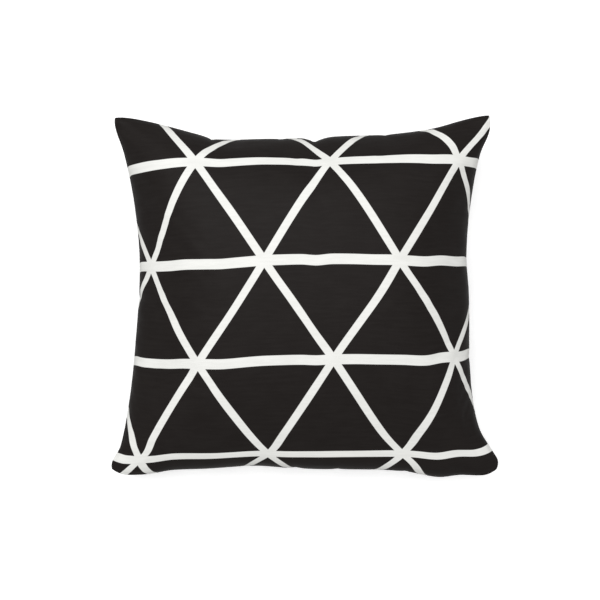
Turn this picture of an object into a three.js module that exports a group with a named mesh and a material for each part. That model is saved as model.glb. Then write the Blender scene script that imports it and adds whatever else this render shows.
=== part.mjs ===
// Outdoor throw pillow: a square knife-edge cushion, filled, lying on its back.
// Millimetres. +Z is up, out of the pillow's face; +Y runs to its top side; +X to its right.
// The origin is on the floor, under the middle of the pillow's outline.

import * as THREE from 'three';
import { mergeVertices } from 'three/addons/utils/BufferGeometryUtils.js';

// How far the face stands off the seam in the middle of the pillow.
const FACE_CROWN = 84;
// The back hangs down to the floor, which presses its belly flat. The flat is this many mesh cells
// across to each side of the middle, and its own sides are waisted in by this much.
const FLAT = { cells: 8, waist: 7 };
// The seam runs high on the top side and low on the bottom side.
const SEAM_HEIGHT = { top: 65, bottom: 38 };
// Power of the round section across the pillow: 0.5 is an ellipse, less is boxier.
const SECTION_POWER = 0.47;
// Share of its thickness that the pillow loses towards the tips of its four ears.
const EAR_THINNING = 0.55;
// Gathers along the seam: fine waves across it that die away over this share of the half side.
const GATHERS = { height: 1.5, perSide: 9, reach: 0.2 };

// Tips of the four ears on the plan, and how far each one lifts off the line of the seam.
const EARS = {
  topLeft: { x: -219.5, y: 206, lift: 4 },
  topRight: { x: 216, y: 209.5, lift: 7 },
  bottomLeft: { x: -225, y: -203.5, lift: -2 },
  bottomRight: { x: 228, y: -206.5, lift: -4 },
};

// How far each side is drawn in from the straight line between its two ears.
// "at" runs from -1 to 1, left to right or bottom to top; "drawn" is in millimetres.
const SIDES = {
  top: [
    { at: -1.0, drawn: 0 }, { at: -0.86, drawn: 2.5 }, { at: -0.7, drawn: 10 },
    { at: -0.56, drawn: 19 }, { at: -0.44, drawn: 26 }, { at: -0.2, drawn: 24.5 },
    { at: 0.0, drawn: 26 }, { at: 0.07, drawn: 29 }, { at: 0.16, drawn: 24.5 },
    { at: 0.45, drawn: 22 }, { at: 0.68, drawn: 16.5 }, { at: 0.84, drawn: 6.5 },
    { at: 1.0, drawn: 0 },
  ],
  bottom: [
    { at: -1.0, drawn: 0 }, { at: -0.93, drawn: -3 }, { at: -0.8, drawn: -5 },
    { at: -0.68, drawn: 0 }, { at: -0.5, drawn: 2.5 }, { at: -0.25, drawn: 6.5 },
    { at: -0.08, drawn: 2.5 }, { at: 0.1, drawn: 1 }, { at: 0.4, drawn: -0.5 },
    { at: 0.55, drawn: -3 }, { at: 0.69, drawn: -9.5 }, { at: 0.8, drawn: -5 },
    { at: 0.93, drawn: -4.5 }, { at: 1.0, drawn: 0 },
  ],
  left: [
    { at: -1.0, drawn: 0 }, { at: -0.95, drawn: 0.5 }, { at: -0.86, drawn: 7.5 },
    { at: -0.6, drawn: 19 }, { at: -0.3, drawn: 25.5 }, { at: 0.16, drawn: 30.5 },
    { at: 0.5, drawn: 22.5 }, { at: 0.78, drawn: 10.5 }, { at: 0.93, drawn: 1 },
    { at: 1.0, drawn: 0 },
  ],
  right: [
    { at: -1.0, drawn: 0 }, { at: -0.94, drawn: -0.5 }, { at: -0.87, drawn: 8.5 },
    { at: -0.76, drawn: 20 }, { at: -0.58, drawn: 29.5 }, { at: 0.0, drawn: 28.5 },
    { at: 0.22, drawn: 30 }, { at: 0.5, drawn: 23.5 }, { at: 0.77, drawn: 14 },
    { at: 0.9, drawn: 3 }, { at: 1.0, drawn: 0 },
  ],
};

// Mesh cells along each side of a panel. Crowding draws them in close to the seam.
const CELLS = 44;
const CROWDING = 0.86;
const FLAT_REACH = station(CELLS / 2 + FLAT.cells);

const CLOTH = { color: 0x2c2928, roughness: 0.88, metalness: 0 };

const { clamp, lerp } = THREE.MathUtils;

// Where line k of the mesh crosses the plan.
function station(k) {
  const even = (2 * k) / CELLS - 1;
  return THREE.MathUtils.lerp(even, Math.sin((even * Math.PI) / 2), CROWDING);
}

// Reads a side's table with a smooth curve through its rows.
function drawnIn(rows, at) {
  let k = 0;
  while (k < rows.length - 2 && at > rows[k + 1].at) {
    k += 1;
  }
  const here = rows[k];
  const next = rows[k + 1];
  const before = rows[Math.max(k - 1, 0)];
  const after = rows[Math.min(k + 2, rows.length - 1)];
  const slope = (from, to) => (to.drawn - from.drawn) / (to.at - from.at);
  const span = next.at - here.at;
  const f = (at - here.at) / span;
  const g = 1 - f;
  return here.drawn * g * g * (1 + 2 * f) + next.drawn * f * f * (1 + 2 * g)
    + span * f * g * (slope(before, next) * g - slope(here, after) * f);
}

// Blends the four values at the ears over the plan.
function acrossEars(read, s, t) {
  const u = (s + 1) / 2;
  const bottom = lerp(read(EARS.bottomLeft), read(EARS.bottomRight), u);
  const top = lerp(read(EARS.topLeft), read(EARS.topRight), u);
  return lerp(bottom, top, (t + 1) / 2);
}

// The plan of a panel: s runs left to right and t bottom to top, each from -1 to 1.
// Straight chords join the ears, and each side's draw-in fades towards the side across from it.
function planPoint(s, t) {
  const x = acrossEars((ear) => ear.x, s, t);
  const y = acrossEars((ear) => ear.y, s, t);
  const inX = (drawnIn(SIDES.left, t) * (1 - s) - drawnIn(SIDES.right, t) * (1 + s)) / 2;
  const inY = (drawnIn(SIDES.bottom, s) * (1 - t) - drawnIn(SIDES.top, s) * (1 + t)) / 2;
  return { x: x + inX, y: y + inY };
}

// How full the pillow is over its plan, 1 in the middle and 0 along the seam.
// The face is round all over, and the back is exactly flat in the middle.
function fullness(side, s, t) {
  const flat = side > 0 ? 0 : FLAT_REACH;
  const past = (along) => Math.max(0, Math.abs(along) - flat) / (1 - flat);
  const round = (1 - past(s) ** 2) * (1 - past(t) ** 2);
  return Math.pow(Math.max(0, round), SECTION_POWER) * (1 - EAR_THINNING * Math.pow(past(s) * past(t), 4));
}

// Fine waves that the gathered cloth makes close to the seam.
function gathers(s, t) {
  const nearSide = clamp(1 - (1 - Math.abs(s)) / GATHERS.reach, 0, 1);
  const nearEnd = clamp(1 - (1 - Math.abs(t)) / GATHERS.reach, 0, 1);
  const wave = (along) => Math.sin(along * GATHERS.perSide * Math.PI) * Math.cos(along * 4) ** 2;
  return GATHERS.height * (wave(t) * nearSide * (1 - nearEnd) + wave(s) * nearEnd * (1 - nearSide));
}

// Height of the seam's own sheet, which tilts from the top side down to the bottom side.
function seamHeight(s, t) {
  const lift = acrossEars((ear) => ear.lift, s, t) * Math.pow(s * t, 2);
  return lerp(SEAM_HEIGHT.bottom, SEAM_HEIGHT.top, (t + 1) / 2) + lift;
}

// How far the sides of the belly's flat are waisted in, fading out to the middle and to the seam.
function waist(along, across) {
  const fade = Math.sin(Math.PI * Math.abs(along)) ** 2;
  return Math.sign(along) * FLAT.waist * fade * (1 - (across / FLAT_REACH) ** 2) * (1 - across ** 2) ** 2;
}

// A point of the face (side 1) or of the back (side -1).
function panelPoint(side, s, t) {
  const { x, y } = planPoint(s, t);
  const seam = seamHeight(s, t) + gathers(s, t);
  const crown = side > 0 ? FACE_CROWN : -seam;
  const point = new THREE.Vector3(x, y, seam + crown * fullness(side, s, t));
  if (side < 0) {
    point.x -= waist(s, t);
    point.y -= waist(t, s);
  }
  return point;
}

// One panel as two triangles a cell, facing out of the pillow.
function panelCorners(side) {
  const corners = [];
  for (let i = 0; i < CELLS; i += 1) {
    for (let j = 0; j < CELLS; j += 1) {
      const [left, right] = [station(i), station(i + 1)];
      const [low, high] = [station(j), station(j + 1)];
      const square = [[left, low], [right, low], [right, high], [left, high]];
      // The short diagonal of each cell runs towards the nearest ear, so that the ears stay crisp.
      const order = (left + right) * (low + high) > 0 ? [0, 1, 2, 0, 2, 3] : [0, 1, 3, 1, 2, 3];
      const turned = side > 0 ? order : [...order].reverse();
      corners.push(...turned.map((n) => panelPoint(side, ...square[n])));
    }
  }
  return corners;
}

// The pillow: face and back sewn together along their four sides into one filled solid.
function pillow() {
  const corners = [...panelCorners(1), ...panelCorners(-1)];
  const middle = new THREE.Box3().setFromPoints(corners).getCenter(new THREE.Vector3());
  const geometry = new THREE.BufferGeometry().setFromPoints(corners);
  geometry.translate(-middle.x, -middle.y, 0);
  const solid = mergeVertices(geometry, 1e-3);
  solid.computeVertexNormals();
  const mesh = new THREE.Mesh(solid, new THREE.MeshStandardMaterial(CLOTH));
  mesh.name = 'pillow';
  return mesh;
}

const model = new THREE.Group();
model.add(pillow());

export default model;
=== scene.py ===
"""Outdoor throw pillow: a filled black cover with a white printed lattice, lying on its back."""

import logging
import math
from dataclasses import dataclass, field
from enum import Enum
from typing import Any

import bpy
import numpy as np
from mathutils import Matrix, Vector


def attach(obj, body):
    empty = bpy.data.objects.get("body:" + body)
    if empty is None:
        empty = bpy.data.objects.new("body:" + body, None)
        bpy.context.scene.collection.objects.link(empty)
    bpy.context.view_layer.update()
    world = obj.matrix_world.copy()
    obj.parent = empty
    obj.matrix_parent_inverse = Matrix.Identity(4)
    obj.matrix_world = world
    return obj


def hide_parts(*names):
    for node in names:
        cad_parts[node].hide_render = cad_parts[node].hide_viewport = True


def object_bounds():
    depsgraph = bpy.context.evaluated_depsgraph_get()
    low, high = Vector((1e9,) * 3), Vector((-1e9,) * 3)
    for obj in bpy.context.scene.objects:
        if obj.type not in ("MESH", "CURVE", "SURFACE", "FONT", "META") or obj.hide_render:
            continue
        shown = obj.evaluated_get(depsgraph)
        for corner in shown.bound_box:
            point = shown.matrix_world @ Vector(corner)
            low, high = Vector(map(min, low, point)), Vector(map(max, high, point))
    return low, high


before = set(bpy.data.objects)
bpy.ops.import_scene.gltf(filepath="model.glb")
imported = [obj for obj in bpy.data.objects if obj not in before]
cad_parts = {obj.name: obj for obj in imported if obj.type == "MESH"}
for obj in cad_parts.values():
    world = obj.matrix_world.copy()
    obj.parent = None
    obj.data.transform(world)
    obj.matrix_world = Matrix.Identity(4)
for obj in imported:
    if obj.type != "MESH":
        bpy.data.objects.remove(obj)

CAD_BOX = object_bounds()
LOG = logging.getLogger("pillow")
MM = 0.001
BODY = "root"


class Panel(Enum):
    """The two cut panels of the cover, by the side of the seam that each one bellies out to."""

    FACE = 1
    BACK = -1


class Side(Enum):
    """The four sides of the pillow, by the way that each one faces on the plan."""

    TOP = (0, 1)
    BOTTOM = (0, -1)
    LEFT = (-1, 0)
    RIGHT = (1, 0)


@dataclass(frozen=True)
class Ear:
    """Tip of one ear in millimetres: its place on the plan and its lift off the line of the seam."""

    x: float
    y: float
    lift: float


def placed(name: str, data: bpy.types.ID) -> bpy.types.Object:
    """Puts a mesh, light or camera in the scene as an object at the origin."""
    thing = bpy.data.objects.new(name, data)
    bpy.context.scene.collection.objects.link(thing)
    return thing


def smooth_curve(at: tuple[float, ...], values: tuple[float, ...], place: np.ndarray) -> np.ndarray:
    """Reads a short table with a smooth curve through its rows.

    Args:
        at: Where the table's rows lie, rising from -1 to 1.
        values: The value of each row.
        place: Where the curve is read, from -1 to 1.

    Returns:
        The curve's values at those places.
    """
    x = np.array(at)
    y = np.array(values)
    here = np.clip(np.searchsorted(x, place, side="right") - 1, 0, len(x) - 2)
    before = np.maximum(here - 1, 0)
    after = np.minimum(here + 2, len(x) - 1)
    span = x[here + 1] - x[here]
    f = (place - x[here]) / span
    g = 1 - f
    leaving = (y[here + 1] - y[before]) / (x[here + 1] - x[before])
    arriving = (y[after] - y[here]) / (x[after] - x[here])
    ends = y[here] * g * g * (1 + 2 * f) + y[here + 1] * f * f * (1 + 2 * g)
    return ends + span * f * g * (leaving * g - arriving * f)


@dataclass(frozen=True)
class DrawIn:
    """How far one side of the seam is drawn in from the straight line between its ears.

    "at" runs from -1 to 1, left to right or bottom to top, and "drawn" is in millimetres.
    """

    at: tuple[float, ...]
    drawn: tuple[float, ...]

    def read(self, place: np.ndarray) -> np.ndarray:
        """Gives the draw-in at places along the side, from -1 to 1."""
        return smooth_curve(self.at, self.drawn, place)


@dataclass(frozen=True)
class Creep:
    """How far the cloth has crept over the filling since it was sewn, in millimetres.

    "at" runs up the panel from -1 to 1. Near the left and the right side the cloth has crept both
    sideways ("across") and upwards ("up"), and in the middle only upwards. The back is cut from
    another place of the printed cloth than the face.
    """

    at: tuple[float, ...] = (-1, -0.9, -0.82, -0.74, -0.3, 0.04, 0.21, 0.73, 1)
    across_left: tuple[float, ...] = (0, 5, 6, 5, -6, 4, 9, -6, 0)
    across_right: tuple[float, ...] = (0, 0, 1, 3, -6, 7, 0, 2, 7)
    up_left: tuple[float, ...] = (-10, -14, -13, -5, -10, -10, -10, -8, -6)
    up_middle: tuple[float, ...] = (11, 15, 9, 6, 10, 6, 4, 3, -8)
    up_right: tuple[float, ...] = (3, -3, -9, -12, -5, -8, -9, -5, -6)
    back_cut: tuple[float, float] = (52, -37)

    def moved(self, places: np.ndarray) -> np.ndarray:
        """Tells how far the cloth has crept at places on a panel.

        Args:
            places: Places across and up the panel, from -1 to 1, in the last axis.

        Returns:
            The creep across and up at each place, in metres, in the last axis.
        """
        u, v = places[..., 0], places[..., 1]
        side = u**2
        level = tuple(0.0 for _ in self.at)
        out = []
        for left, middle, right in (
            (self.across_left, level, self.across_right),
            (self.up_left, self.up_middle, self.up_right),
        ):
            near = np.where(u < 0, smooth_curve(self.at, left, v), smooth_curve(self.at, right, v))
            out.append(near * side + smooth_curve(self.at, middle, v) * (1 - side))
        return np.stack(out, -1) * MM


@dataclass(frozen=True)
class SewnSeam:
    """The seam round the pillow: its outline on the plan and its height, in millimetres."""

    top_left: Ear = Ear(-221, 207, 4)
    top_right: Ear = Ear(216, 209.5, 7)
    bottom_left: Ear = Ear(-227.5, -206, -2)
    bottom_right: Ear = Ear(228, -206.5, -4)
    top: DrawIn = DrawIn(
        at=(-1.0, -0.86, -0.7, -0.56, -0.44, -0.2, 0.0, 0.07, 0.16, 0.45, 0.68, 0.84, 1.0),
        drawn=(0, 5.4, 13.9, 22.3, 28.7, 28.6, 28, 30, 26.5, 24.3, 18.4, 9.1, 0),
    )
    bottom: DrawIn = DrawIn(
        at=(-1.0, -0.93, -0.8, -0.68, -0.5, -0.25, -0.08, 0.1, 0.4, 0.55, 0.69, 0.8, 0.93, 1.0),
        drawn=(0, -4, -2.7, 2.1, 3.9, 7.4, 4.9, 3.4, 2.8, -0.4, -5.8, -3.4, -4.4, 0),
    )
    left: DrawIn = DrawIn(
        at=(-1.0, -0.95, -0.86, -0.6, -0.3, 0.16, 0.5, 0.78, 0.93, 1.0),
        drawn=(0, 2, 12.8, 23.2, 29.4, 33.9, 27.2, 14.9, 3.5, 0),
    )
    right: DrawIn = DrawIn(
        at=(-1.0, -0.94, -0.87, -0.76, -0.58, -0.35, 0.0, 0.22, 0.5, 0.77, 0.9, 1.0),
        drawn=(0, 0, 9, 22, 29.7, 32, 31.2, 33, 27, 15, 3, 0),
    )
    top_height: float = 65
    bottom_height: float = 38

    def across(self, name: str, s: np.ndarray, t: np.ndarray) -> np.ndarray:
        """Blends one value of the four ears over the plan.

        Args:
            name: Which value of an ear is read.
            s: Places from left to right, from -1 to 1.
            t: Places from bottom to top, from -1 to 1.

        Returns:
            The blended value at each place.
        """
        right = (s + 1) / 2
        up = (t + 1) / 2
        low = getattr(self.bottom_left, name) * (1 - right) + getattr(self.bottom_right, name) * right
        high = getattr(self.top_left, name) * (1 - right) + getattr(self.top_right, name) * right
        return low * (1 - up) + high * up

    def plan(self, s: np.ndarray, t: np.ndarray) -> tuple[np.ndarray, np.ndarray]:
        """Lays places out on the plan, inside the drawn-in outline.

        Args:
            s: Places from left to right, from -1 to 1.
            t: Places from bottom to top, from -1 to 1.

        Returns:
            Their x and y in millimetres.
        """
        in_x = (self.left.read(t) * (1 - s) - self.right.read(t) * (1 + s)) / 2
        in_y = (self.bottom.read(s) * (1 - t) - self.top.read(s) * (1 + t)) / 2
        return self.across("x", s, t) + in_x, self.across("y", s, t) + in_y

    def height(self, s: np.ndarray, t: np.ndarray) -> np.ndarray:
        """Gives the height of the seam's own sheet, which tilts down to the bottom side.

        Args:
            s: Places from left to right, from -1 to 1.
            t: Places from bottom to top, from -1 to 1.

        Returns:
            The height at each place, in millimetres.
        """
        tilt = self.bottom_height + (self.top_height - self.bottom_height) * (t + 1) / 2
        return tilt + self.across("lift", s, t) * (s * t) ** 2

    def to_frame(self) -> np.ndarray:
        """Gives the shift from the outline's own origin to the frame's, read off the CAD box."""
        ears = (self.top_left, self.top_right, self.bottom_left, self.bottom_right)
        high = CAD_BOX[1]
        right = high[0] / MM - max(ear.x for ear in ears)
        up = high[1] / MM - max(ear.y for ear in ears)
        return np.array([right, up, 0.0])


@dataclass(frozen=True)
class StuffedForm:
    """The form that the filling gives the cover before any pucker: sizes in millimetres."""

    seam: SewnSeam = field(default_factory=SewnSeam)
    face_crown: float = 84
    section_power: float = 0.47
    ear_thinning: float = 0.55
    ear_power: int = 4
    flat_reach: float = 0.51
    half_width: float = 190
    half_depth: float = 73
    section_points: int = 801
    rounds: int = 3

    def fullness(self, s: np.ndarray, t: np.ndarray, flat: float = 0.0) -> np.ndarray:
        """Tells how full the pillow is over its plan, 1 in the middle and 0 along the seam.

        Args:
            s: Places from left to right, from -1 to 1.
            t: Places from bottom to top, from -1 to 1.
            flat: How far the middle is pressed flat, as a share of the half side.

        Returns:
            The fullness at each place.
        """
        past_s = np.maximum(np.abs(s) - flat, 0) / (1 - flat)
        past_t = np.maximum(np.abs(t) - flat, 0) / (1 - flat)
        section = np.clip((1 - past_s**2) * (1 - past_t**2), 0, 1) ** self.section_power
        return section * (1 - self.ear_thinning * (past_s * past_t) ** self.ear_power)

    def even_places(self, cells: int) -> tuple[np.ndarray, np.ndarray]:
        """Finds where the lines of an even grid on the cut cloth cross the plan once it is filled.

        Args:
            cells: How many cells the grid has along each side.

        Returns:
            The s and t of each crossing, on a grid of cells + 1 by cells + 1.
        """
        even = np.linspace(-1, 1, cells + 1)
        fine = np.sin(np.linspace(-math.pi / 2, math.pi / 2, self.section_points))
        s, t = np.meshgrid(even, even, indexing="ij")
        for _ in range(self.rounds):
            new_s, new_t = s.copy(), t.copy()
            for k in range(cells + 1):
                across = np.interp(fine, s[:, k], t[:, k])
                new_s[:, k] = self.walked(fine, self.fullness(fine, across), even)
                across = np.interp(fine, t[k, :], s[k, :])
                new_t[k, :] = self.walked(fine, self.fullness(across, fine), even)
            s, t = new_s, new_t
        return s, t

    def walked(self, fine: np.ndarray, full: np.ndarray, even: np.ndarray) -> np.ndarray:
        """Walks along one section of the filled cover in even steps of cloth.

        Args:
            fine: Places along the section's plan, from -1 to 1.
            full: The fullness at those places.
            even: The even places on the cut cloth, from -1 to 1.

        Returns:
            The places on the plan that the even places of the cloth reach.
        """
        steps = np.hypot(np.diff(fine * self.half_width), np.diff(full * self.half_depth))
        length = np.concatenate([[0], np.cumsum(steps)])
        return np.interp((even + 1) / 2 * length[-1], length, fine)

    def surface(self, panel: Panel, s: np.ndarray, t: np.ndarray) -> np.ndarray:
        """Gives the points of one panel of the filled cover.

        Args:
            panel: Which panel.
            s: Places from left to right, from -1 to 1.
            t: Places from bottom to top, from -1 to 1.

        Returns:
            The points in the frame, in millimetres, with x, y and z last.
        """
        x, y = self.seam.plan(s, t)
        height = self.seam.height(s, t)
        if panel is Panel.FACE:
            z = height + self.face_crown * self.fullness(s, t)
        else:
            z = height - height * self.fullness(s, t, self.flat_reach)
        return np.stack([x, y, z], -1) + self.seam.to_frame()


@dataclass(frozen=True)
class Tuck:
    """A small crease where the stitches pinch the cloth at the seam: sizes in metres.

    "at" is its place along the side, from -1 to 1, left to right or bottom to top, and "dip" is how
    far it also pulls the cloth down, as a share of its depth.
    """

    side: Side
    at: float
    depth: float
    width: float
    reach: float = 16 * MM
    dip: float = 0.3

    def pull(self, u: np.ndarray, v: np.ndarray, half: float) -> np.ndarray:
        """Tells how far the tuck pulls the cloth in.

        Args:
            u: Places across the cut panel, from -1 to 1.
            v: Places up the cut panel, from -1 to 1.
            half: Half the side of the cut panel, in metres.

        Returns:
            The pull at each place, in metres, with x, y and z last.
        """
        right, up = self.side.value
        along = v if right else u
        off = (1 - (u * right + v * up)) * half
        fade = np.exp(-np.abs(along - self.at) * half / self.width - (off / self.reach) ** 2)
        return (self.depth * fade)[..., None] * np.array([-right, -up, -self.dip])


@dataclass
class Cover:
    """The sewn cover: cut panels, stuffed by a cloth simulation and finished as one closed mesh.

    Sizes are in metres. "rim" holds the seam's points in order, once the cover is built.
    """

    form: StuffedForm = field(default_factory=StuffedForm)
    creep: Creep = field(default_factory=Creep)
    cut: float = 457 * MM
    cells: int = 60
    fine_cells: int = 180
    frames: int = 50
    sewing_frames: int = 20
    start_crown: float = 4 * MM
    quality: int = 5
    mass: float = 0.3
    pressure: float = 10.0
    tension: float = 30.0
    shear: float = 10.0
    bending: float = 0.5
    face_press: float = 0.92
    back_press: float = 0.78
    face_reach: float = 16 * MM
    back_reach: float = 12 * MM
    rim_hold: float = 55 * MM
    pucker_span: float = 36 * MM
    pucker_reach: float = 6 * MM
    pucker_share: float = 0.2
    crowding: float = 0.55
    floor_blend: float = 2.5 * MM
    ditch_depth: float = 1.2 * MM
    ditch_width: float = 1.4 * MM
    roll_height: float = 0.7 * MM
    ear_blunting: float = 5 * MM
    ear_radius: float = 9 * MM
    bake_span: tuple[float, float] = (0.245, 0.49)
    bake_middles: tuple[float, float] = (0.25, 0.75)
    tucks: tuple[Tuck, ...] = (
        Tuck(Side.TOP, -0.475, 2.2 * MM, 4 * MM),
        Tuck(Side.TOP, -0.11, 1.2 * MM, 5 * MM),
        Tuck(Side.TOP, 0.066, 3.4 * MM, 4.5 * MM),
        Tuck(Side.TOP, 0.44, 1.2 * MM, 5 * MM),
        Tuck(Side.LEFT, -0.02, 1.4 * MM, 5 * MM),
        Tuck(Side.RIGHT, -0.35, 1.2 * MM, 6 * MM),
        Tuck(Side.BOTTOM, -0.04, 1.6 * MM, 5 * MM),
        Tuck(Side.BOTTOM, 0.17, 1.2 * MM, 5 * MM),
        Tuck(Side.BOTTOM, 0.52, 1.4 * MM, 5 * MM),
    )
    rim: np.ndarray = field(init=False, repr=False)

    def numbering(self, cells: int) -> tuple[np.ndarray, np.ndarray]:
        """Numbers the grid points of both panels, which share the points of the seam.

        Args:
            cells: How many cells each panel has along a side.

        Returns:
            The vertex numbers of the face and of the back.
        """
        side = cells + 1
        face = np.arange(side * side).reshape(side, side)
        back = face.copy()
        back[1:-1, 1:-1] = side * side + np.arange((side - 2) ** 2).reshape(side - 2, side - 2)
        return face, back

    def quads(self, cells: int) -> np.ndarray:
        """Lists the quads of both panels, facing outwards, the face's first."""
        both = []
        for ids, panel in zip(self.numbering(cells), Panel):
            corners = (ids[:-1, :-1], ids[1:, :-1], ids[1:, 1:], ids[:-1, 1:])
            both.append(np.stack(corners, -1).reshape(-1, 4)[:, :: panel.value])
        return np.concatenate(both)

    def joined(self, face: np.ndarray, back: np.ndarray) -> np.ndarray:
        """Lists the points of both panels in the order of their numbering."""
        return np.concatenate([face.reshape(-1, 3), back[1:-1, 1:-1].reshape(-1, 3)])

    def parted(self, points: np.ndarray, cells: int) -> tuple[np.ndarray, np.ndarray]:
        """Puts a list of points back on the grids of the face and the back."""
        face, back = self.numbering(cells)
        return points[face], points[back]

    def simulate(self, face: np.ndarray, back: np.ndarray) -> np.ndarray:
        """Sews the flat panels to the pillow's outline while the filling pushes them apart.

        Args:
            face: The filled form of the face, whose rim is the seam's outline.
            back: The filled form of the back.

        Returns:
            The settled points of both panels.
        """
        along = np.linspace(-1, 1, self.cells + 1)
        u, v = np.meshgrid(along, along, indexing="ij")
        crown = self.start_crown * (1 - u**2) * (1 - v**2)
        level = self.form.seam.height(0, 0) * MM
        flat = np.stack([u * self.cut / 2, v * self.cut / 2, level + crown], -1)
        under = np.stack([u * self.cut / 2, v * self.cut / 2, level - crown], -1)
        mesh = bpy.data.meshes.new("cut_panels")
        mesh.from_pydata(self.joined(flat, under).tolist(), [], self.quads(self.cells).tolist())
        cloth = placed("cut_panels", mesh)
        rim = cloth.vertex_groups.new(name="seam")
        on_rim = np.ones((self.cells + 1, self.cells + 1), bool)
        on_rim[1:-1, 1:-1] = False
        rim.add(self.numbering(self.cells)[0][on_rim].tolist(), 1.0, "REPLACE")
        cloth.shape_key_add(name="flat")
        sewn = cloth.shape_key_add(name="sewn")
        sewn.data.foreach_set("co", self.joined(face, back).astype(np.float32).ravel())
        sewn.value = 0.0
        sewn.keyframe_insert("value", frame=1)
        sewn.value = 1.0
        sewn.keyframe_insert("value", frame=self.sewing_frames)
        self.set_cloth(cloth)
        for number in range(1, self.frames + 1):
            bpy.context.scene.frame_set(number)
        settled = cloth.evaluated_get(bpy.context.evaluated_depsgraph_get()).to_mesh()
        points = np.empty(len(settled.vertices) * 3, np.float32)
        settled.vertices.foreach_get("co", points)
        bpy.data.objects.remove(cloth)
        bpy.context.scene.frame_set(1)
        return points.reshape(-1, 3).astype(float)

    def set_cloth(self, cloth: bpy.types.Object) -> None:
        """Gives the flat panels the cloth and the pressure of the filling.

        Args:
            cloth: The flat panels, with their seam in a vertex group.
        """
        modifier = cloth.modifiers.new("stuffing", "CLOTH")
        settings = modifier.settings
        settings.quality = self.quality
        settings.mass = self.mass
        settings.tension_stiffness = self.tension
        settings.compression_stiffness = self.tension
        settings.shear_stiffness = self.shear
        settings.bending_stiffness = self.bending
        settings.use_pressure = True
        settings.uniform_pressure_force = self.pressure
        settings.effector_weights.gravity = 0
        settings.vertex_group_mass = "seam"
        settings.pin_stiffness = 1.0
        modifier.collision_settings.use_collision = False
        modifier.point_cache.frame_start = 1
        modifier.point_cache.frame_end = self.frames

    def eased(self, form: np.ndarray, settled: np.ndarray, reach: float) -> np.ndarray:
        """Moves the form towards the settled cloth: its broad form first, then some of its puckers.

        Args:
            form: The filled form of a panel.
            settled: The same points of the simulated cloth.
            reach: How far a point may move with the broad form, in metres.

        Returns:
            The panel's points between the two.
        """
        move = settled - form
        smooth = self.smoothed(move, self.pucker_span)
        off = self.from_seam(np.linspace(-1, 1, self.cells + 1))[..., None]
        inside = np.clip(off / self.rim_hold, 0, 1)
        inside = inside * inside * (3 - 2 * inside)
        broad = self.limited(smooth, reach)
        puckers = self.limited(move - smooth, self.pucker_reach)
        return form + broad * inside + puckers * self.pucker_share

    def limited(self, moves: np.ndarray, reach: float) -> np.ndarray:
        """Shortens moves softly, so that none is longer than the reach."""
        length = np.linalg.norm(moves, axis=-1, keepdims=True)
        return moves * np.tanh(length / reach) * reach / np.maximum(length, 1e-9)

    def smoothed(self, grid: np.ndarray, span: float) -> np.ndarray:
        """Smooths a panel's grid, keeping its rim where it is.

        Args:
            grid: Values on the simulation's grid.
            span: How far the smoothing reaches over the cloth, in metres.

        Returns:
            The smoothed values.
        """
        step = self.cut / self.cells
        out = grid.copy()
        for _ in range(int(2 * (span / step) ** 2)):
            around = out[2:, 1:-1] + out[:-2, 1:-1] + out[1:-1, 2:] + out[1:-1, :-2]
            out[1:-1, 1:-1] = out[1:-1, 1:-1] * 0.5 + around * 0.125
        return out

    def panels(self) -> tuple[np.ndarray, np.ndarray]:
        """Settles the cover on the floor.

        Returns:
            The points of the face and the back on the simulation's grid.
        """
        s, t = self.form.even_places(self.cells)
        face, back = (self.form.surface(panel, s, t) * MM for panel in Panel)
        level = self.form.seam.height(s, t) * MM
        settled_face, settled_back = self.parted(self.simulate(face, back), self.cells)
        settled_face[..., 2] = level + (settled_face[..., 2] - level) * self.face_press
        settled_back[..., 2] = level + (settled_back[..., 2] - level) * self.back_press
        face = self.eased(face, settled_face, self.face_reach)
        return face, self.eased(back, settled_back, self.back_reach)

    def stations(self) -> np.ndarray:
        """Places the finished mesh's lines across a panel, from -1 to 1, crowded at the seam."""
        even = np.linspace(-1, 1, self.fine_cells + 1)
        return even + self.crowding * (np.sin(even * math.pi / 2) - even)

    def resampled(self, grid: np.ndarray) -> np.ndarray:
        """Reads a panel's grid at the finished mesh's lines, with a smooth cubic curve both ways.

        Args:
            grid: The panel's points on the simulation's even grid.

        Returns:
            Its points on the finished mesh's grid.
        """
        at = (self.stations() + 1) / 2 * self.cells
        here = np.clip(np.floor(at).astype(int), 0, self.cells - 1)
        f = at - here
        shares = (
            -0.5 * f + f**2 - 0.5 * f**3,
            1 - 2.5 * f**2 + 1.5 * f**3,
            0.5 * f + 2 * f**2 - 1.5 * f**3,
            -0.5 * f**2 + 0.5 * f**3,
        )
        weights = np.zeros((len(at), self.cells + 1))
        for step, share in enumerate(shares):
            place = np.clip(here + step - 1, 0, self.cells)
            np.add.at(weights, (np.arange(len(at)), place), share)
        return np.einsum("ai,ijk,bj->abk", weights, grid, weights)

    def normals(self, grid: np.ndarray) -> np.ndarray:
        """Gives the unit normals of a panel's grid, up for a grid that lies flat."""
        along = np.gradient(grid, axis=0)
        up = np.gradient(grid, axis=1)
        normal = np.cross(along, up)
        return normal / np.maximum(np.linalg.norm(normal, axis=-1, keepdims=True), 1e-12)

    def from_seam(self, along: np.ndarray) -> np.ndarray:
        """Gives how far each point of a grid with these lines lies from the seam on the cut cloth."""
        to_side = (1 - np.abs(along)) * self.cut / 2
        return np.minimum(to_side[:, None], to_side[None, :])

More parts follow.
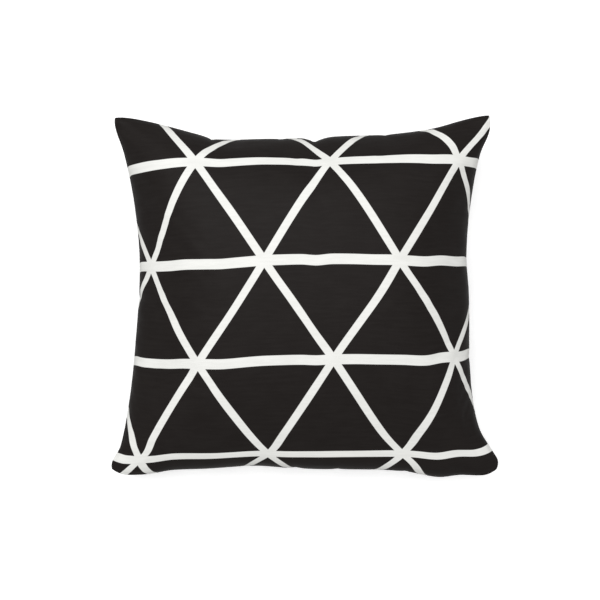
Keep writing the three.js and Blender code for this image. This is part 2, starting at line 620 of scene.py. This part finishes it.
    def pulled(self) -> np.ndarray:
        """Tells how the stitches pull the cloth: tucks along the sides, and blunted ears.

        Returns:
            The pull at each point of the finished grid, in metres.
        """
        u, v = np.meshgrid(self.stations(), self.stations(), indexing="ij")
        half = self.cut / 2
        to_ear = (2 - np.abs(u) - np.abs(v)) * half
        inwards = np.stack([-np.sign(u), -np.sign(v), np.zeros_like(u)], -1) / math.sqrt(2)
        pull = inwards * (self.ear_blunting * np.exp(-to_ear / self.ear_radius))[..., None]
        for tuck in self.tucks:
            pull = pull + tuck.pull(u, v, half)
        return pull

    def finished(self) -> tuple[np.ndarray, np.ndarray]:
        """Finishes both panels: fine mesh, seam ditch and flat belly.

        Returns:
            The points of the face and the back on the finished mesh's grid.
        """
        face, back = (self.resampled(grid) + self.pulled() for grid in self.panels())
        off = self.from_seam(self.stations())
        roll = self.roll_height * np.exp(-(((off - self.ditch_width) / self.ditch_width) ** 2))
        sunk = self.ditch_depth * np.exp(-((off / (self.ditch_width / 2)) ** 2))
        inwards = face.mean((0, 1)) - face
        inwards[..., 2] = 0
        inwards /= np.linalg.norm(inwards, axis=-1, keepdims=True)
        out = []
        for grid, panel in zip((face, back), Panel):
            lifted = grid + panel.value * self.normals(grid) * roll[..., None] * (off > 0)[..., None]
            grid = lifted + inwards * sunk[..., None]
            grid[..., 2] = (grid[..., 2] + np.sqrt(grid[..., 2] ** 2 + self.floor_blend**2)) / 2
            out.append(grid)
        return out[0], out[1]

    def build(self) -> bpy.types.Object:
        """Makes the cover's mesh with its cut-cloth map.

        Returns:
            The cover, as one closed mesh.
        """
        face, back = self.finished()
        mesh = bpy.data.meshes.new("pillow_cover")
        mesh.from_pydata(self.joined(face, back).tolist(), [], self.quads(self.fine_cells).tolist())
        mesh.polygons.foreach_set("use_smooth", [True] * len(mesh.polygons))
        self.map_cloth(mesh)
        self.rim = np.concatenate([face[:, 0], face[-1, 1:], face[-2::-1, -1], face[0, -2:0:-1]])
        return placed("pillow_cover", mesh)

    def map_cloth(self, mesh: bpy.types.Mesh) -> None:
        """Maps the mesh with places on the cut cloth, and with a layout that nothing overlaps in.

        Args:
            mesh: The cover's mesh.
        """
        places = np.stack(np.meshgrid(self.stations(), self.stations(), indexing="ij"), -1)
        cells = (places[:-1, :-1], places[1:, :-1], places[1:, 1:], places[:-1, 1:])
        corners = [np.stack(cells, -2).reshape(-1, 4, 2)[:, :: panel.value] for panel in Panel]
        cut = mesh.uv_layers.new(name="cut_cloth")
        face, back = (grid * self.cut / 2 - self.creep.moved(grid) for grid in corners)
        metres = np.concatenate([face, back + np.array(self.creep.back_cut) * MM])
        cut.uv.foreach_set("vector", metres.astype(np.float32).ravel())
        halves = [
            grid * self.bake_span + (middle, 0.5) for grid, middle in zip(corners, self.bake_middles)
        ]
        layout = mesh.uv_layers.new(name="OFBake")
        layout.uv.foreach_set("vector", np.concatenate(halves).astype(np.float32).ravel())


@dataclass(frozen=True)
class SeamThread:
    """The lockstitch that shows as short thread ends down in the seam's ditch: sizes in metres."""

    pitch: float = 3.2 * MM
    length: float = 2.3 * MM
    thickness: float = 0.55 * MM
    segments: int = 6
    rings: int = 5

    def sizes(self) -> dict[str, float]:
        """Gives the sizes that the stitches' tree takes as named inputs."""
        return {"Pitch": self.pitch, "Length": self.length, "Thickness": self.thickness}

    def tree(self, material: bpy.types.Material) -> bpy.types.NodeTree:
        """Builds the nodes that lay stitches along the seam.

        Args:
            material: The thread's finish.

        Returns:
            The node tree, with its sizes as named inputs.
        """
        tree = bpy.data.node_groups.new("seam_stitches", "GeometryNodeTree")
        face = tree.interface
        face.new_socket(name="Seam", in_out="INPUT", socket_type="NodeSocketGeometry")
        for name, value in self.sizes().items():
            socket = face.new_socket(name=name, in_out="INPUT", socket_type="NodeSocketFloat")
            socket.default_value = value
        face.new_socket(name="Stitches", in_out="OUTPUT", socket_type="NodeSocketGeometry")
        nodes = Nodes(tree)
        given = nodes.add("NodeGroupInput")
        path = nodes.add("GeometryNodeMeshToCurve", inputs={"Mesh": given.outputs["Seam"]})
        steps = nodes.add(
            "GeometryNodeCurveToPoints",
            {"mode": "LENGTH"},
            {"Curve": path.outputs["Curve"], "Length": given.outputs["Pitch"]},
        )
        stitch = nodes.add(
            "GeometryNodeMeshUVSphere",
            inputs={"Segments": self.segments, "Rings": self.rings, "Radius": 0.5},
        )
        size = nodes.add(
            "ShaderNodeCombineXYZ",
            inputs={
                "X": given.outputs["Length"],
                "Y": given.outputs["Thickness"],
                "Z": given.outputs["Thickness"],
            },
        )
        turned = nodes.add(
            "FunctionNodeAlignRotationToVector", {"axis": "X"}, {"Vector": steps.outputs["Tangent"]}
        )
        laid = nodes.add(
            "GeometryNodeInstanceOnPoints",
            inputs={
                "Points": steps.outputs["Points"],
                "Instance": stitch.outputs["Mesh"],
                "Rotation": turned.outputs["Rotation"],
                "Scale": size.outputs["Vector"],
            },
        )
        real = nodes.add("GeometryNodeRealizeInstances", inputs={"Geometry": laid.outputs["Instances"]})
        dressed = nodes.add(
            "GeometryNodeSetMaterial",
            inputs={"Geometry": real.outputs["Geometry"], "Material": material},
        )
        nodes.add("NodeGroupOutput", inputs={"Stitches": dressed.outputs["Geometry"]})
        return tree

    def build(self, rim: np.ndarray, material: bpy.types.Material) -> bpy.types.Object:
        """Lays the stitches along the seam and bakes them to a plain mesh.

        Args:
            rim: The seam's points in order, once round the pillow.
            material: The thread's finish.

        Returns:
            The stitches, as one mesh.
        """
        count = len(rim)
        path = bpy.data.meshes.new("seam_path")
        path.from_pydata(rim.tolist(), [(k, (k + 1) % count) for k in range(count)], [])
        guide = placed("seam_path", path)
        modifier = guide.modifiers.new("stitches", "NODES")
        modifier.node_group = self.tree(material)
        sizes = self.sizes()
        for socket in modifier.node_group.interface.items_tree:
            if socket.in_out == "INPUT" and socket.name in sizes:
                modifier[socket.identifier] = sizes[socket.name]
        depsgraph = bpy.context.evaluated_depsgraph_get()
        mesh = bpy.data.meshes.new_from_object(guide.evaluated_get(depsgraph), depsgraph=depsgraph)
        mesh.name = "seam_thread"
        guide.modifiers.remove(modifier)
        bpy.data.objects.remove(guide)
        mesh.polygons.foreach_set("use_smooth", [True] * len(mesh.polygons))
        return placed("seam_thread", mesh)


@dataclass
class Nodes:
    """Adds nodes to a shader or geometry tree and joins them up."""

    tree: bpy.types.NodeTree

    def add(
        self,
        kind: str,
        settings: dict[str, Any] | None = None,
        inputs: dict[str | int, Any] | None = None,
    ) -> bpy.types.Node:
        """Adds one node.

        Args:
            kind: The node's type.
            settings: Its own settings, set first.
            inputs: The value or link of each socket, by name or number.

        Returns:
            The new node.
        """
        node = self.tree.nodes.new(kind)
        for name, value in (settings or {}).items():
            setattr(node, name, value)
        for name, value in (inputs or {}).items():
            self.join(node.inputs[name], value)
        return node

    def join(self, socket: bpy.types.NodeSocket, value: Any) -> None:
        """Links a socket to another socket or an expression, or sets it to a plain value."""
        if isinstance(value, Value):
            value = value.socket
        if isinstance(value, bpy.types.NodeSocket):
            self.tree.links.new(value, socket)
        else:
            socket.default_value = value

    def math(self, operation: str, *parts: Any) -> "Value":
        """Adds a Math node on values, links or expressions."""
        node = self.add("ShaderNodeMath", {"operation": operation}, dict(enumerate(parts)))
        return Value(self, node.outputs[0])

    def noise(self, place: Any, scale: float, detail: float = 2.0, rough: float = 0.5) -> "Value":
        """Adds smooth noise, from 0 to 1, over a place."""
        node = self.add(
            "ShaderNodeTexNoise",
            inputs={"Vector": place, "Scale": scale, "Detail": detail, "Roughness": rough},
        )
        return Value(self, node.outputs["Fac"])

    def vector(self, x: Any, y: Any, z: Any = 0.0) -> bpy.types.NodeSocket:
        """Joins three values into a vector."""
        return self.add("ShaderNodeCombineXYZ", inputs={"X": x, "Y": y, "Z": z}).outputs[0]

    def blend(self, share: Any, first: Any, second: Any) -> bpy.types.NodeSocket:
        """Mixes two colours by a share from 0 to 1."""
        node = self.add("ShaderNodeMix", {"data_type": "RGBA"}, {0: share, 6: first, 7: second})
        return node.outputs[2]


@dataclass
class Finish:
    """A new material, with its shader and the nodes that feed it."""

    name: str
    material: bpy.types.Material = field(init=False)
    nodes: Nodes = field(init=False)
    shader: bpy.types.Node = field(init=False)

    def __post_init__(self) -> None:
        """Makes the material."""
        self.material = bpy.data.materials.new(self.name)
        self.material.use_nodes = True
        self.nodes = Nodes(self.material.node_tree)
        self.shader = self.material.node_tree.nodes["Principled BSDF"]

    def set(self, **values: Any) -> None:
        """Sets or links the shader's sockets, named with _ for a space."""
        for name, value in values.items():
            self.nodes.join(self.shader.inputs[name.replace("_", " ")], value)


@dataclass
class Value:
    """A shader value that Python's operators work on, each one adding a Math node."""

    nodes: Nodes
    socket: bpy.types.NodeSocket

    def __add__(self, other: Any) -> "Value":
        """Adds."""
        return self.nodes.math("ADD", self, other)

    def __radd__(self, other: Any) -> "Value":
        """Adds, from the right."""
        return self.nodes.math("ADD", other, self)

    def __sub__(self, other: Any) -> "Value":
        """Takes away."""
        return self.nodes.math("SUBTRACT", self, other)

    def __rsub__(self, other: Any) -> "Value":
        """Takes away, from the right."""
        return self.nodes.math("SUBTRACT", other, self)

    def __mul__(self, other: Any) -> "Value":
        """Multiplies."""
        return self.nodes.math("MULTIPLY", self, other)

    def __rmul__(self, other: Any) -> "Value":
        """Multiplies, from the right."""
        return self.nodes.math("MULTIPLY", other, self)

    def __abs__(self) -> "Value":
        """Drops the sign."""
        return self.nodes.math("ABSOLUTE", self)

    def wave(self) -> "Value":
        """Gives the sine."""
        return self.nodes.math("SINE", self)

    def to_nearest(self) -> "Value":
        """Gives the distance to the nearest whole number."""
        return abs(self - self.nodes.math("ROUND", self))

    def over(self, start: float, end: float) -> "Value":
        """Runs smoothly from 0 at start to 1 at end."""
        node = self.nodes.add(
            "ShaderNodeMapRange",
            {"interpolation_type": "SMOOTHSTEP"},
            {"Value": self, "From Min": start, "From Max": end},
        )
        return Value(self.nodes, node.outputs["Result"])

    def larger(self, other: Any) -> "Value":
        """Gives the larger of two values."""
        return self.nodes.math("MAXIMUM", self, other)


@dataclass(frozen=True)
class Lattice:
    """The printed lattice on the cut cloth, from the panel's middle: sizes in metres."""

    pitch: float = 154.0 * MM
    row: float = 120.0 * MM
    first_u: float = -121.1 * MM
    first_v: float = 166.5 * MM
    turn: float = 0.011
    lean: float = -0.006
    row_line: float = 11.9 * MM
    slanted_line: float = 8.9 * MM
    ink_edge: float = 0.25 * MM
    drift: float = 0.9 * MM

    def mask(self, nodes: Nodes, u: Value, v: Value, wander: Value) -> Value:
        """Draws the white lines: level rows, and two slanted families through the same crossings.

        Args:
            nodes: The material's nodes; not used.
            u: Place across the cut panel, in metres.
            v: Place up the cut panel, in metres.
            wander: Slow noise from 0 to 1 that the printed lines drift by.

        Returns:
            1 on a line and 0 between the lines.
        """
        square = 1 - self.turn * self.lean
        drift = (wander - 0.5) * (2 * self.drift)
        x = (u - v * self.lean) * (1 / square)
        y = (v - u * self.turn) * (1 / square) + drift
        across = (x - self.first_u) * (1 / self.pitch)
        up = (y - self.first_v) * (1 / self.row)
        slant = 1 / math.hypot(1 / self.pitch, 0.5 / self.row)
        lines = self.line(up.to_nearest() * self.row, self.row_line)
        for lean in (0.5, -0.5):
            off = (across + up * lean).to_nearest() * slant
            lines = lines.larger(self.line(off, self.slanted_line))
        return lines

    def line(self, off: Value, width: float) -> Value:
        """Gives 1 within half a line's width of its middle, with a soft inked edge."""
        return 1 - off.over(width / 2 - self.ink_edge, width / 2 + self.ink_edge)


@dataclass(frozen=True)
class PrintedCloth:
    """The cover's finish: matt black woven cloth with slubs, and the printed white lines.

    "slub", "streak", "mottle" and "wander" say how fine each pattern is, in marks per metre, the first
    two across and up the cloth. "shade" is the share of slubs, streaks and mottle in the cloth's tone,
    and "relief" that of weave, slubs and streaks in its bumps. Each range says which part of the tone
    runs from the first to the second colour of the black cloth and of the white ink.
    """

    lattice: Lattice = field(default_factory=Lattice)
    black: tuple[float, float, float, float] = (0.0110, 0.0086, 0.0078, 1.0)
    worn_black: tuple[float, float, float, float] = (0.0150, 0.0124, 0.0114, 1.0)
    white: tuple[float, float, float, float] = (0.835, 0.835, 0.805, 1.0)
    thin_white: tuple[float, float, float, float] = (0.785, 0.785, 0.755, 1.0)
    thread_pitch: float = 0.85 * MM
    slub: tuple[float, float] = (30, 290)
    streak: tuple[float, float] = (90, 1400)
    mottle: float = 38.0
    wander: float = 14.0
    shade: tuple[float, float, float] = (0.55, 0.2, 0.25)
    black_range: tuple[float, float] = (0.35, 0.68)
    white_range: tuple[float, float] = (0.40, 0.60)
    black_roughness: float = 0.54
    white_roughness: float = 0.75
    roughness_play: float = 0.16
    relief: tuple[float, float, float] = (0.10, 0.9, 0.35)
    bump_strength: float = 0.4
    bump_depth: float = 0.35 * MM
    specular_level: float = 0.1

    def build(self) -> bpy.types.Material:
        """Makes the material.

        Returns:
            The printed cloth, on the cover's own map of the cut cloth.
        """
        finish = Finish("printed_cloth")
        nodes = finish.nodes
        cut = nodes.add("ShaderNodeUVMap", {"uv_map": "cut_cloth"}).outputs["UV"]
        place = nodes.add("ShaderNodeSeparateXYZ", inputs={"Vector": cut})
        u, v = Value(nodes, place.outputs["X"]), Value(nodes, place.outputs["Y"])
        slubs = nodes.noise(
            nodes.vector(u * self.slub[0], v * self.slub[1]), 1.0, detail=4.0, rough=0.65
        )
        streaks = nodes.noise(nodes.vector(u * self.streak[0], v * self.streak[1]), 1.0)
        mottle = nodes.noise(cut, self.mottle, detail=3.0)
        lines = self.lattice.mask(nodes, u, v, nodes.noise(cut, self.wander, detail=1.0))
        weft = (v * (2 * math.pi / self.thread_pitch)).wave()
        warp = (u * (2 * math.pi / self.thread_pitch)).wave()
        weave = weft * 0.5 + weft * warp * 0.5
        shade = slubs * self.shade[0] + streaks * self.shade[1] + mottle * self.shade[2]
        cloth = nodes.blend(shade.over(*self.black_range), self.black, self.worn_black)
        ink = nodes.blend(shade.over(*self.white_range), self.thin_white, self.white)
        rough = self.black_roughness + lines * (self.white_roughness - self.black_roughness)
        height = weave * self.relief[0] + slubs * self.relief[1] + streaks * self.relief[2]
        bump = nodes.add(
            "ShaderNodeBump",
            inputs={"Strength": self.bump_strength, "Distance": self.bump_depth, "Height": height},
        )
        finish.set(
            Base_Color=nodes.blend(lines, cloth, ink),
            Roughness=rough + (streaks - 0.5) * self.roughness_play,
            Specular_IOR_Level=self.specular_level,
            Normal=bump.outputs["Normal"],
        )
        return finish.material


@dataclass(frozen=True)
class BlackThread:
    """The seam thread's finish: black polyester with a slight twist along it."""

    colour: tuple[float, float, float, float] = (0.022, 0.020, 0.019, 1.0)
    dusty: tuple[float, float, float, float] = (0.040, 0.037, 0.035, 1.0)
    twist: float = 900.0
    roughness: float = 0.5
    roughness_play: float = 0.3

    def build(self) -> bpy.types.Material:
        """Makes the material.

        Returns:
            The thread's finish, on object coordinates.
        """
        finish = Finish("black_thread")
        nodes = finish.nodes
        twist = nodes.noise(nodes.add("ShaderNodeTexCoord").outputs["Object"], self.twist)
        finish.set(
            Base_Color=nodes.blend(twist, self.colour, self.dusty),
            Roughness=self.roughness + twist * self.roughness_play,
        )
        return finish.material


@dataclass
class Pillow:
    """The whole pillow: the sewn cover and the thread in its seam."""

    cover: Cover = field(default_factory=Cover)
    thread: SeamThread = field(default_factory=SeamThread)

    def build(self) -> list[bpy.types.Object]:
        """Returns:
            The pieces of the pillow.
        """
        cover = self.cover.build()
        cover.data.materials.append(PrintedCloth().build())
        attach(cover, BODY)
        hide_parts("pillow")
        thread = self.thread.build(self.cover.rim, BlackThread().build())
        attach(thread, BODY)
        return [cover, thread]


@dataclass(frozen=True)
class Softbox:
    """A soft square light, aimed at the pillow: sizes in metres and angles in degrees."""

    name: str
    side: float
    power: float
    azimuth: float
    elevation: float
    distance: float = 2.6

    def build(self) -> bpy.types.Object:
        """Hangs the light and aims it at the pillow.

        Returns:
            The light's object.
        """
        data = bpy.data.lights.new(self.name, "AREA")
        data.shape = "SQUARE"
        data.size = self.side
        data.energy = self.power
        light = placed(self.name, data)
        turn = math.radians(self.azimuth)
        rise = math.radians(self.elevation)
        out = Vector((math.sin(turn) * math.cos(rise), math.cos(turn) * math.cos(rise), math.sin(rise)))
        light.location = out * self.distance
        light.rotation_euler = out.to_track_quat("Z", "Y").to_euler()
        light.visible_camera = False
        return light


@dataclass
class Studio:
    """The pale floor, the soft light and the camera straight above the pillow.

    Sizes are in metres, but the camera's sensor is in millimetres. The floor is a flat disc that sweeps
    up all round, far from the pillow, and glows a little. It sends no light back to the pillow, because
    the pillow's flanks are as dark as in a picture that is cut out on white.
    """

    camera_height: float = 2.2
    sensor: float = 36
    image_side: float = 600
    focal_pixels: float = 1851.7
    middle: tuple[float, float] = (-4.64 * MM, -5.80 * MM)
    floor_reach: float = 4.8
    floor_sweep: float = 2.0
    floor_join: float = 0.2
    floor_corners: int = 96
    sweep_steps: int = 16
    floor_colour: tuple[float, float, float, float] = (0.95, 0.95, 0.95, 1.0)
    floor_roughness: float = 0.9
    floor_glow: float = 0.42
    air_colour: tuple[float, float, float, float] = (1.0, 1.0, 1.0, 1.0)
    air: float = 0.55
    lights: tuple[Softbox, ...] = (
        Softbox("overhead", 3.2, 42, -12, 79),
        Softbox("key", 1.2, 13, -52, 58),
    )

    def build(self) -> None:
        """Lays the floor, hangs the lights and sets the camera."""
        self.lay_floor()
        for light in self.lights:
            light.build()
        self.light_air()
        self.set_camera()
        bpy.context.scene.view_settings.view_transform = "Standard"

    def lay_floor(self) -> None:
        """Lays the floor's rings from the flat disc outwards, and dresses it."""
        bend = np.linspace(0, math.pi / 2, self.sweep_steps + 1)
        flat_end = self.floor_reach - self.floor_join
        reach = np.concatenate([[flat_end], self.floor_reach + self.floor_sweep * np.sin(bend)])
        height = np.concatenate([[0.0], self.floor_sweep * (1 - np.cos(bend))])
        count = self.floor_corners
        turn = np.arange(count) * 2 * math.pi / count
        rings = [np.outer(reach, np.cos(turn)), np.outer(reach, np.sin(turn))]
        rings.append(np.outer(height, np.ones(count)))
        ids = np.arange(len(reach) * count).reshape(-1, count)
        on = np.roll(ids, -1, axis=1)
        quads = np.stack([ids[:-1], ids[1:], on[1:], on[:-1]], -1).reshape(-1, 4)
        faces = [ids[0].tolist(), *quads.tolist()]
        mesh = bpy.data.meshes.new("floor")
        mesh.from_pydata(np.stack(rings, -1).reshape(-1, 3).tolist(), [], faces)
        mesh.polygons.foreach_set("use_smooth", [False] + [True] * len(quads))
        finish = Finish("floor")
        finish.set(
            Base_Color=self.floor_colour,
            Roughness=self.floor_roughness,
            Emission_Color=self.floor_colour,
            Emission_Strength=self.floor_glow,
        )
        mesh.materials.append(finish.material)
        floor = placed("floor", mesh)
        for ray in ("diffuse", "glossy", "shadow"):
            setattr(floor, f"visible_{ray}", False)

    def light_air(self) -> None:
        """Fills the room with even white light."""
        world = bpy.data.worlds.new("studio")
        world.use_nodes = True
        background = world.node_tree.nodes["Background"]
        background.inputs["Color"].default_value = self.air_colour
        background.inputs["Strength"].default_value = self.air
        bpy.context.scene.world = world

    def set_camera(self) -> None:
        """Sets the camera above the pillow, unturned: it looks down, with the picture's top at +Y."""
        data = bpy.data.cameras.new("camera")
        data.sensor_width = self.sensor
        data.lens = self.sensor * self.focal_pixels / self.image_side
        camera = placed("camera", data)
        shift = SewnSeam().to_frame() * MM
        camera.location = (self.middle[0] + shift[0], self.middle[1] + shift[1], self.camera_height)
        bpy.context.scene.camera = camera


def main() -> None:
    """Builds the studio and the pillow, and reports each piece."""
    logging.basicConfig(level=logging.INFO, format="%(name)s: %(message)s")
    Studio().build()
    for piece in Pillow().build():
        size = np.ptp(np.array(piece.bound_box), axis=0) / MM
        LOG.info("%s: %d faces, %.0f x %.0f x %.0f mm", piece.name, len(piece.data.polygons), *size)


if __name__ == "__main__":
    main()
